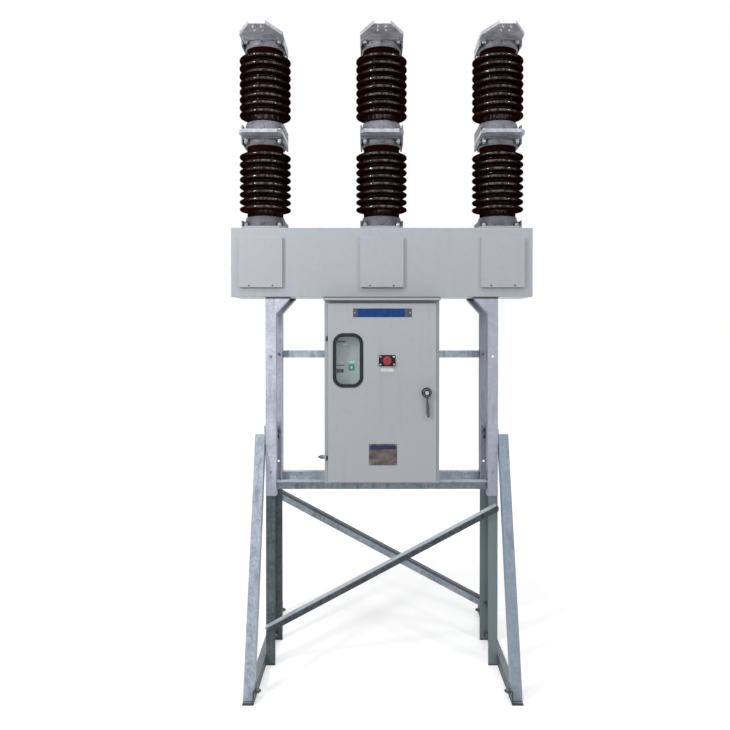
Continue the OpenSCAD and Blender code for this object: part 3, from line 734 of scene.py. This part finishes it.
def on_door_corners(x, z, dx, dz, out):
    return [on_door(x + sx * dx, z + sz * dz, out) for sx in (-1, 1) for sz in (-1, 1)]


def name_plate():
    low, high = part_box("door_plates")
    w, h = high.x - low.x, 50 * MM
    x, z = (low.x + high.x) / 2, high.z - h / 2
    base = enamelled("name_plate", slab(w, h, PLATE_T), on_door(x, z), "plate_dark")
    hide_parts("door_plates")
    left, right = 24 * MM, 41 * MM
    field = slab(w - left - right, h - 3 * MM, 0.3 * MM, 1 * MM, 0.1 * MM)
    enamelled("name_plate_field", field, on_door(x + (left - right) / 2, z, PLATE_T), "blue")
    reach = w / 2 - 11 * MM
    fixings = [on_door(x + dx, z, PLATE_T) for dx in (-reach, reach)]
    hardware("name_plate_rivets", rivet(3 * MM), fixings, "bright_chrome", DOOR)


def rating_plate():
    low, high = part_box("door_plates")
    w, h = 161 * MM, 123 * MM
    x, z = (low.x + high.x) / 2 + 3 * MM, low.z + h / 2
    base = enamelled("rating_plate", slab(w, h, PLATE_T), on_door(x, z), "etched")
    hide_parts("door_plates")
    head = slab(w - 14 * MM, 24 * MM, 0.25 * MM, 1 * MM, 0.1 * MM)
    at = on_door(x, z + h / 2 - 20 * MM, PLATE_T)
    enamelled("rating_plate_header", head, at, "navy")
    reach_x, reach_z, bar_w = w / 2 - 2 * MM, h / 2 - 2 * MM, 1.6 * MM
    across = slab(w - 4 * MM, bar_w, 0.25 * MM, 0.3 * MM, 0.1 * MM)
    upright = slab(bar_w, h - 4 * MM, 0.25 * MM, 0.3 * MM, 0.1 * MM)
    rule = slab(w - 20 * MM, 0.6 * MM, 0.15 * MM, 0.2 * MM, 0.05 * MM)
    first_rule, rule_step, rules = 22 * MM, 13 * MM, 6
    lines = merged(
        copies(across, [on_door(x, z + dz, PLATE_T) for dz in (-reach_z, reach_z)]),
        copies(upright, [on_door(x + dx, z, PLATE_T) for dx in (-reach_x, reach_x)]),
        copies(rule, [on_door(x, z + first_rule - k * rule_step, PLATE_T)
                      for k in range(rules)]))
    piece("rating_plate_lines", lines, "plate_dark", DOOR)
    spots = on_door_corners(x, z, w / 2 - 7 * MM, h / 2 - 7 * MM, PLATE_T)
    hardware("rating_plate_rivets", rivet(2.6 * MM), spots, "bright_chrome", DOOR)


def button_label():
    centre = middle("button_plate")
    at = on_door(centre.x, centre.z - 54 * MM)
    label = enamelled("button_label", plate(75, 19, 0.8), at, "white")
    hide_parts("door_plates")


def button_guard():
    """Black plate with its collar, and four bright screws."""
    low, high, at = fitting("button_plate")
    w, h = high.x - low.x, high.z - low.z
    plate_t, edge = 3 * MM, 1 * MM
    bore, collar_r, round_over = 11.1 * MM, 16 * MM, 1.5 * MM
    root, top = plate_t - 0.5 * MM, high.y - low.y
    outline = insets(w, h, 4 * MM, ((0, 0), (0, plate_t - edge), (edge, plate_t)), 11)
    base = loft([circle_like(outline[0], bore), *outline, circle_like(outline[2], bore)],
                closed=True)
    collar = hollow([(bore, root), (collar_r, root), (collar_r, top - round_over),
                     (collar_r - round_over, top), (bore, top)], 48)
    guard = piece("button_guard", moved(merged(base, collar), at), "black", DOOR)
    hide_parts("button_plate")
    screw, screw_in = 5.5 * MM, 10 * MM
    x, z = at.translation.xz
    spots = on_door_corners(x, z, w / 2 - screw_in, h / 2 - screw_in, plate_t)
    hardware("button_guard_screws", screw_head(screw), spots, "bright_chrome", DOOR)
    # Painted shade: dark bars for the shade in the guard screws' cross slots
    hardware("button_guard_slot_shades", cross_slot_shade(screw), spots, "black", DOOR)


def circle_like(outline, r):
    """A circle of radius r with a point for each point of outline, in the same directions."""
    points = []
    for x, y, z in outline:
        a = math.atan2(y, x)
        points.append((r * math.cos(a), r * math.sin(a), z))
    return points


def mushroom():
    """Red mushroom head with a rounded crown, and its stem through the door."""
    low, high, at = fitting("trip_button")
    r, depth = (high.x - low.x) / 2, high.y - low.y
    stem_r, head_t, crown_steps = 11 * MM, 12 * MM, 7
    crown_t, crown_in, under = head_t * 0.62, r * 0.42, depth - head_t
    quarter = [math.pi / 2 * k / crown_steps for k in range(crown_steps + 1)]
    profile = [
        (stem_r - 1 * MM, 0), (stem_r, 1 * MM), (stem_r, under), (r - 2 * MM, under),
        (r - 0.4 * MM, under + 0.8 * MM),
        *[(r - crown_in * (1 - math.cos(a)), depth - crown_t + crown_t * math.sin(a))
          for a in quarter],
        (r * 0.40, depth - 0.05 * MM), (r * 0.12, depth)]
    head = piece("button_mushroom", moved(turned(profile, 64), at), "red", BUTTON, 50)
    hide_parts("trip_button")


def contact_block():
    """Black block behind the door, which hides the button's stem and leaves it room to move."""
    centre = middle("trip_button")
    bore, room, deep, edge, r = 12.2 * MM, 18 * MM, 32 * MM, 1 * MM, 3 * MM
    section = ((0, room), (0, 0), (0, deep - edge), (edge, deep))
    outline = insets(42 * MM, 50 * MM, r, section, 11, least=r)
    block = loft([circle_like(outline[0], bore), circle_like(outline[1], bore), *outline[1:]])
    at = facing((centre.x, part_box("cabinet_door")[0].y + FRONT_SHEET, centre.z), BACK)
    piece("button_contact_block", moved(block, at), "black", DOOR)


def gasket_ring():
    """Rubber window profile: rounded outside with a filler groove, gripping door and glass."""
    low, high, at = fitting("window_gasket")
    wide, deep = 20 * MM, high.y - low.y
    bead, groove, grip, sheet, pane = mm((1.6, 1.4, 6, 1.1, 2.1))[0]
    section = [
        (0.0, deep / 2 + sheet), (0.0, deep - bead), (bead * 0.4, deep - bead * 0.4),
        (bead, deep), (wide * 0.36, deep), (wide * 0.42, deep - groove),
        (wide * 0.58, deep - groove), (wide * 0.64, deep), (wide - bead, deep),
        (wide - bead * 0.4, deep - bead * 0.4), (wide, deep - bead),
        (wide, deep / 2 + pane), (wide - grip, deep / 2 + pane),
        (wide - grip, deep / 2 - pane), (wide, deep / 2 - pane), (wide, bead),
        (wide - bead, 0), (bead, 0), (0.0, bead), (0.0, deep / 2 - sheet),
        (grip, deep / 2 - sheet), (grip, deep / 2 + sheet)]
    rings = insets(high.x - low.x, high.z - low.z, 60 * MM, section, 14, least=1 * MM)
    ring = piece("window_gasket_ring", moved(loft(rings, closed=True), at), "rubber", DOOR,
                 50)
    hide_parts("window_gasket")


# ---- Handle ----

LEVER_LEAN = math.radians(3.5)
SQUARENESS = 0.6
# Half width of the lever at distances from its pivot
LEVER_WIDTHS = mm((6, 9.5), (18, 9), (26, 7.6), (36, 6.2), (48, 5.6), (60, 6.4), (70, 7.8),
                  (78, 8.4), (128, 8.4), (134, 7.6), (139, 5.4), (141.6, 2.4))


def lever_section(y, half_w, z0, z1, steps=16):
    """Rounded cross-section of the lever in the plane y."""
    points = []
    for k in range(steps):
        a = 2 * math.pi * k / steps
        c, s = math.cos(a), math.sin(a)
        x = half_w * math.copysign(abs(c) ** SQUARENESS, c)
        z = (z0 + z1) / 2 + (z1 - z0) / 2 * math.copysign(abs(s) ** SQUARENESS, s)
        points.append((x, y, z))
    return points


def above(level, *points):
    """(radius, height) pairs in metres, from millimetres above a level."""
    return [(r * MM, level + z * MM) for r, z in points]


def handle_parts():
    """Lever with its round head, shaft and cam, and the lock with its key slot."""
    base_high, base_at = fitting("handle_base")[1:]
    low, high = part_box("door_handle")
    head_t = 16 * MM
    stand, cam_back = base_high.y - low.y - head_t, base_high.y - high.y
    at = base_at @ Matrix.Rotation(LEVER_LEAN, 4, "Z")
    head = hollow(above(stand, (10, 0), (22, 0), (25, 3), (25, 11), (23.5, 14.2), (20.5, 16),
                        (17, 15.4), (14.5, 12), (10, 12)), 48)
    lever = loft([lever_section(-y, half_w, stand + 0.6 * MM, stand + 10.6 * MM)
                  for y, half_w in LEVER_WIDTHS])
    shaft = turned([(8 * MM, cam_back), (8 * MM, stand + 1 * MM)], 32)
    cam = moved(plate(36, 20, 3, 3), Matrix.Translation((8 * MM, 0, cam_back)))
    grip = piece("handle_lever", moved(merged(head, lever, shaft, cam), at), "chrome", HANDLE,
                 40)
    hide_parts("door_handle")
    lock = turned(above(stand, (10.5, 2), (10.5, 13.6), (9.6, 14.6), (4, 14.8)), 32)
    piece("handle_lock", moved(lock, at), "bright_chrome", HANDLE)
    # Painted shade: a black plate for the shade in the lock's key slot
    slot = moved(plate(1.6, 9, 0.3, 0.4, 0.1), Matrix.Translation((0, 0, stand + 14.7 * MM)))
    piece("handle_key_slot_shade", moved(slot, at), "black", HANDLE)


def handle_rosette():
    low, high, at = fitting("handle_base")
    r, t, bore = (high.x - low.x) / 2, high.y - low.y, 8.1 * MM
    rose = hollow([(bore, 0), (r, 0), (r, t * 0.5), (r - 1.2 * MM, t * 0.9),
                   (r - 3 * MM, t), (bore, t)], 48)
    made = piece("handle_rosette", moved(rose, at), "rubber", DOOR)
    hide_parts("handle_base")


# ---- Stand ----

POST_BOLT_IN = 30 * MM
SPLICE_BOLT_DOWN = 66 * MM
BEND_BOLT_IN = 100 * MM
STAND_BOLT = 12 * MM
POST_BOLT = 10 * MM
RAKE_BOLT = 16 * MM


def through(heads, nuts, point, direction, grip):
    """A bolt through a grip: its head at point, facing direction, and its nut behind."""
    spin = SPINS[len(heads) % len(SPINS)] + len(heads)
    heads.append(facing(point, direction, spin))
    nuts.append(facing(Vector(point) - direction * grip, -direction, spin * 1.7))


def post_bolts():
    """Bolts in the face flanges of the posts: the rear bar's, the splices', and one in front."""
    heads, nuts = [], []
    front_low, front_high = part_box("front_uprights")
    rear_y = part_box("rear_uprights")[1].y
    bar_z = middle("rear_bar").z
    splice_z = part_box("lower_legs")[1].z - SPLICE_BOLT_DOWN
    x = front_high.x - POST_BOLT_IN
    for side in (-1, 1):
        through(heads, nuts, (side * x, rear_y, bar_z), BACK, ANGLE_T)
        through(heads, nuts, (side * x, rear_y, splice_z), BACK, 2 * ANGLE_T)
    small = moved(bolt_head(8 * MM), facing((-x, front_low.y, bar_z), FRONT, 0.4))
    piece("post_bolt_heads", merged(copies(bolt_head(POST_BOLT), heads), small), "mid_bolts",
          STAND)
    hardware("post_bolt_nuts", nut_end(POST_BOLT), nuts, "mid_bolts")


def brace_bolts():
    """Bolts through the ends of the braces, on the centre line of their upright legs."""
    heads, nuts = [], []
    half_w = 25 * MM
    for node, direction, in_end in (("front_brace", FRONT, 12 * MM), ("rear_brace", BACK, 20 * MM)):
        low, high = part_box(node)
        slope = math.atan2(high.z - low.z, high.x - low.x)
        up = half_w * math.cos(slope) + in_end * math.sin(slope)
        z_left, z_right = low.z + up, high.z - up
        if direction is BACK:  # this one falls towards +X
            z_left, z_right = z_right, z_left
        y = (low.y if direction is BACK else high.y) + direction.y * ANGLE_T
        for x, z in ((low.x + in_end, z_left), (high.x - in_end, z_right)):
            through(heads, nuts, (x, y, z), direction, 2 * ANGLE_T)
    hardware("brace_bolt_heads", bolt_head(STAND_BOLT), heads, "dark_bolts")
    hardware("brace_bolt_nuts", nut_end(STAND_BOLT), nuts, "dark_bolts")


def foot_bolts():
    """Bolts along X: raking legs to the posts and base rails, lower legs to the base rails."""
    heads, nuts = [], []
    rake_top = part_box("raking_legs")[1].z
    x_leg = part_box("front_uprights")[1].x
    mid_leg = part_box("lower_legs")[1].y - POST_BOLT_IN
    rail_in, rail_up, foot_z, first, second = mm((62, 16, 42, 24, 68))[0]
    slope = (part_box("base_rails")[1].y - rail_in - mid_leg) / (rake_top - rail_up)
    for side in (-1, 1):
        for depth in (-1, 1):
            for down, plates in ((first, 3), (second, 3), (rake_top - foot_z, 2)):
                y = depth * (mid_leg + slope * down)
                point = (side * (x_leg + 2 * ANGLE_T), y, rake_top - down)
                through(heads, nuts, point, RIGHT * side, plates * ANGLE_T)
            point = (side * (x_leg + ANGLE_T), depth * mid_leg, foot_z)
            through(heads, nuts, point, RIGHT * side, 2 * ANGLE_T)
    hardware("foot_bolt_heads", bolt_head(RAKE_BOLT), heads, "dark_bolts")
    hardware("foot_bolt_nuts", nut_end(RAKE_BOLT), nuts, "dark_bolts")


def beam_bolts():
    """Bolt heads under the end plates of the posts."""
    low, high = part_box("front_uprights")
    y, x_out, x_in = -low.y - 40 * MM, high.x - 22 * MM, high.x - BEND_BOLT_IN
    points = [(sx * x, sy * y, high.z - END_PLATE)
              for sx in (-1, 1) for sy in (-1, 1) for x in (x_out, x_in)]
    heads = [facing(p, DOWN, SPINS[k % len(SPINS)]) for k, p in enumerate(points)]
    hardware("beam_bolt_heads", bolt_head(STAND_BOLT), heads, "dark_bolts")


def channel_bolts():
    """Nuts in the web of the rear channel."""
    low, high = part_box("rear_rail")
    where = [facing((x, high.y - ANGLE_T, (low.z + high.z) / 2), FRONT, 0.3 + x)
             for x in (-0.537, -0.25, 0.25, 0.537)]
    hardware("channel_bolts", nut_end(10 * MM, 0.3), where, "bright_chrome")


def earth_bolt():
    """Bolt, nut and washers on the earthing boss of the cabinet."""
    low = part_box("cabinet_body")[0]
    boss_in, boss_up = 60 * MM, 140 * MM
    at = facing((low.x, low.y + boss_in, low.z + boss_up), LEFT, 0.5)
    hardware("earth_bolt", nut_end(14 * MM, 0.7), [at], "dark_bolts")


# ---- Behind the door ----


def on_panel(x, z, out=0.0):
    return facing((x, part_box("inner_panel")[0].y - out, z), FRONT)


def panel_indicator():
    """Spring-charged indicator: green frame with a pale flag behind its window."""
    window = middle("window_gasket")
    x, z = window.x + 18 * MM, window.z - 43 * MM
    at, flag_at = on_panel(x, z), on_panel(x, z, 4.5 * MM)
    section = mm((0, 0), (0, 5), (1, 6), (9, 6), (10, 4.5))
    shape = loft(insets(31 * MM, 34 * MM, 3 * MM, section, least=3 * MM))
    enamelled("indicator_frame", shape, at, "green", STAND)
    enamelled("indicator_flag", plate(9, 12, 0.6, 1, 0.2), flag_at, "white", STAND)
    enamelled("indicator_surround", plate(44, 46, 0.6, 3, 0.2), at, "pale_green", STAND)


def panel_counter():
    """Operation counter: black case with its row of blank number wheels."""
    window = middle("window_gasket")
    x, z = window.x - 48 * MM, window.z - 62 * MM
    case_t, wheels, pitch = 9, 5, 4.4 * MM
    case = merged(moved(plate(40, 20, case_t, 3, 1.5), on_panel(x, z)),
                  moved(plate(46, 5, 3, 1, 0.5), on_panel(x + 1 * MM, z + 31 * MM)))
    piece("counter_case", case, "black", STAND)
    row = [on_panel(x - 9 * MM + k * pitch, z, case_t * MM) for k in range(wheels)]
    wheel = plate(3.6, 7, 0.5, 0.6, 0.2)
    piece("counter_wheels", copies(wheel, row), "plate_dark", STAND)


def panel_fittings():
    """Toggle switch, blank labels and hand-charging socket on the panel."""
    window = middle("window_gasket")
    x, z = window.x - 20 * MM, window.z + 74 * MM
    socket_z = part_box("inner_panel")[0].z + 0.40
    lever = moved(turned(mm((2.2, 3), (1.8, 10), (2.8, 15), (1.5, 17))),
                  Matrix.Rotation(math.radians(18), 4, "X"))
    hardware("panel_switch", merged(hex_part(14 * MM, 3 * MM), lever), [on_panel(x, z)],
             "bright_chrome")
    labels = [moved(plate(w, h, 0.5, 1, 0.2), at) for w, h, at in (
        (26, 10, on_panel(x + 2 * MM, z + 16 * MM)),
        (30, 8, on_panel(window.x + 18 * MM, window.z - 12 * MM)),
        (60, 16, on_panel(0, socket_z)))]
    piece("panel_labels", merged(*labels), "white", STAND)
    enamelled("panel_dark_label", plate(46, 12, 1, 1, 0.3),
              on_panel(window.x - 42 * MM, window.z + 106 * MM), "plate_dark", STAND)
    collar = hollow(mm((9, 0), (19, 0), (19, 4), (16, 7), (10.5, 7), (9, 5)), 32)
    shaft = loft([hexagon(13 * MM, h) for h in (0.0, 4 * MM, 5 * MM)])
    hardware("panel_charging_socket", merged(collar, shaft), [on_panel(0.12, socket_z)],
             "bright_chrome")


def terminal_strip():
    """Row of terminal blocks on a rail low on the panel, each with two screws."""
    centre_x, centre_z = 0.03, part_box("inner_panel")[0].z + 0.16
    blocks, pitch, rail_t, block_t = 26, 10.5 * MM, 1.5 * MM, 30 * MM
    places = [(k - (blocks - 1) / 2) * pitch for k in range(blocks)]
    block = slab(9.4 * MM, 44 * MM, block_t, 1 * MM, 1 * MM)
    strip = merged(slab(0.30, 35 * MM, rail_t, 1 * MM, 0.3 * MM),
                   copies(block, [Matrix.Translation((x, 0, rail_t)) for x in places]))
    piece("panel_terminal_strip", moved(strip, on_panel(centre_x, centre_z)), "rubber",
          STAND)
    screws = [on_panel(centre_x + x, centre_z + dz, rail_t + block_t)
              for x in places for dz in (-14 * MM, 14 * MM)]
    hardware("panel_terminal_screws", screw_head(2.6 * MM), screws, "bolts")


def panel_screws():
    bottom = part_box("inner_panel")[0].z
    spots = [on_panel(x, bottom + up) for x in (-0.29, 0.29) for up in (0.06, 0.34, 0.66, 0.94)]
    hardware("panel_screws", screw_head(5 * MM), spots, "bolts")


def rim_seal():
    """Rubber seal round the cabinet's opening, pressed by the closed door."""
    low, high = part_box("cabinet_door")
    left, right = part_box("door_hinges")[1].x + 8 * MM, high.x - 14 * MM
    at = facing(((left + right) / 2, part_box("cabinet_body")[0].y, (low.z + high.z) / 2), FRONT)
    section = mm((0, 0), (0, 2.4), (2, 4.2), (6, 4.6), (9, 3.4), (10, 1), (10, 0))
    rings = insets(right - left, high.z - low.z - 28 * MM, 14 * MM, section, 6)
    piece("rim_seal", moved(loft(rings, closed=True), at), "rubber", STAND)


# ---- CAD nodes that stay: a better finish and broken edges ----

BROKEN_EDGES = {kind: width * MM for width, kinds in (
    (2.5, "beam_box"), (1.6, "beam_covers"), (1.5, "cabinet_roof"),
    (1.2, "cabinet_body front_uprights rear_uprights lower_legs raking_legs front_rail"
          " rear_rail rear_bar front_brace rear_brace"),
    (1.0, "lower_terminal upper_terminal"),
    (0.8, "base_rails cabinet_door inner_panel base_flange mid_flanges top_flange"),
) for kind in kinds.split()}
FINISHES = {
    "grey_paint": "paint", "cast_aluminium": "cast", "brown_porcelain": "porcelain",
    "bright_zinc": "zinc_bright", "dull_zinc": "zinc_legs", "chrome_fittings": "chrome",
    "window_rubber": "rubber", "window_glass": "glass", "button_plate": "black",
    "button_red": "red", "plate_enamel": "plate_dark",
}
OWN_FINISHES = {
    "lower_terminal": "machined", "upper_terminal": "cast_pale", "raking_legs": "zinc_pale",
    "mid_flanges": "cast_light", "top_flange": "cast_top",
    "front_rail": "zinc_mid", "rear_rail": "zinc_light", "rear_bar": "zinc_light",
    "front_brace": "zinc_front_brace", "rear_brace": "zinc_rear_brace",
    "base_rails": "zinc_rails", "door_hinges": "rubber", "cabinet_roof": "paint_roof",
}


def finish_cad_node(name, node):
    """The node's own finish, with coplanar triangles joined and outer edges broken."""
    kind = name[:-2] if name[-2:] in ("_a", "_b", "_c") else name
    slot = node.data.materials[0].name.split(".")[0]
    finish = OWN_FINISHES.get(kind, FINISHES[slot])
    node.material_slots[0].material = MATERIALS[finish]
    custom = node.data.attributes.get("custom_normal")
    if custom is not None:
        node.data.attributes.remove(custom)
    node.data.shade_smooth()
    node.modifiers.new("weld", "WELD").merge_threshold = 0.02 * MM
    if "insulator" in kind:
        return
    flat = node.modifiers.new("whole_faces", "DECIMATE")
    flat.decimate_type = "DISSOLVE"
    flat.angle_limit = math.radians(1)
    if kind in BROKEN_EDGES:
        edge = node.modifiers.new("broken_edges", "BEVEL")
        edge.width = BROKEN_EDGES[kind]
        edge.segments = 2
        edge.limit_method = "ANGLE"
        edge.angle_limit = math.radians(35)
        edge.miter_outer = "MITER_ARC"
        edge.harden_normals = False
    node.modifiers.new("flat_shading", "WEIGHTED_NORMAL").keep_sharp = False


# ---- Stage and light ----


def area_lamp(name, place, target, size, radiance):
    """Softbox of that radiance: its power is radiance times pi times its area."""
    data = bpy.data.lights.new(name, "AREA")
    data.shape = "RECTANGLE"
    data.size, data.size_y = size
    data.energy = radiance * math.pi * size[0] * size[1]
    lamp = link(bpy.data.objects.new(name, data))
    lamp.location = place
    lamp.rotation_euler = (Vector(target) - Vector(place)).to_track_quat("-Z", "Y").to_euler()


def seen_directly(nodes):
    """1 for camera, glossy and transmission rays, which see the pale background itself."""
    rays = nodes.node("LightPath").outputs
    total = rays["Is Camera Ray"]
    for name in ("Is Glossy Ray", "Is Transmission Ray"):
        total = nodes.calc("MAXIMUM", total, rays[name])
    return total


SKY_LIGHT = 0.33


def make_world():
    world = bpy.data.worlds.new("studio")
    world.use_nodes = True
    bpy.context.scene.world = world
    nodes = Nodes(world.node_tree)
    sky = nodes.tree.nodes["Background"].inputs
    nodes.feed(sky["Color"], (1, 1, 1))
    nodes.feed(sky["Strength"], nodes.span(seen_directly(nodes), 0, 1, SKY_LIGHT, 1))


def make_floor():
    """White floor that keeps the object's shadow: it glows less near the object, where the
    lamps reach it, than far away."""
    half = 60.0
    near, far, glow_near, glow_far = 1.4, 5.0, 0.42, 0.74
    mesh = bpy.data.meshes.new("floor")
    mesh.from_pydata([(-half, -half, 0), (half, -half, 0), (half, half, 0), (-half, half, 0)],
                     [], [(0, 1, 2, 3)])
    s = Surface("floor_white", (0.85, 0.85, 0.85), Roughness=0.9, Specular_IOR_Level=0.0,
                Emission_Color=(1, 1, 1))
    glow = s.span(s.vector_calc("LENGTH", s.place), near, far, glow_near, glow_far)
    s.drive("Emission Strength", s.calc("MULTIPLY", seen_directly(s), glow))
    mesh.materials.append(s.material)
    link(bpy.data.objects.new("floor", mesh))


def make_lamps():
    aim = (0, 0, 2.3)
    area_lamp("lamp_left", (-2.5, -2.3, 3.3), aim, (0.3, 0.8), 62)
    area_lamp("lamp_right", (3.0, -2.7, 3.5), aim, (0.2, 0.8), 50)
    area_lamp("lamp_top", (-0.4, -1.7, 5.9), (0, 0, 2.2), (5.0, 3.0), 2.5)
    area_lamp("lamp_back", (0.4, 3.4, 5.9), (0, 0, 1.8), (4.0, 1.6), 4.0)


# ---- Everything in order ----

bpy.context.scene.view_settings.view_transform = "Standard"
make_camera()
for node_name, node_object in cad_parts.items():
    finish_cad_node(node_name, node_object)
flange_bolts()
filler_plugs()
cover_screws()
name_plate()
rating_plate()
button_label()
button_guard()
mushroom()
contact_block()
gasket_ring()
handle_parts()
handle_rosette()
post_bolts()
brace_bolts()
foot_bolts()
beam_bolts()
channel_bolts()
earth_bolt()
panel_indicator()
panel_counter()
panel_fittings()
terminal_strip()
panel_screws()
rim_seal()
make_world()
make_floor()
make_lamps()

bpy.context.view_layer.update()
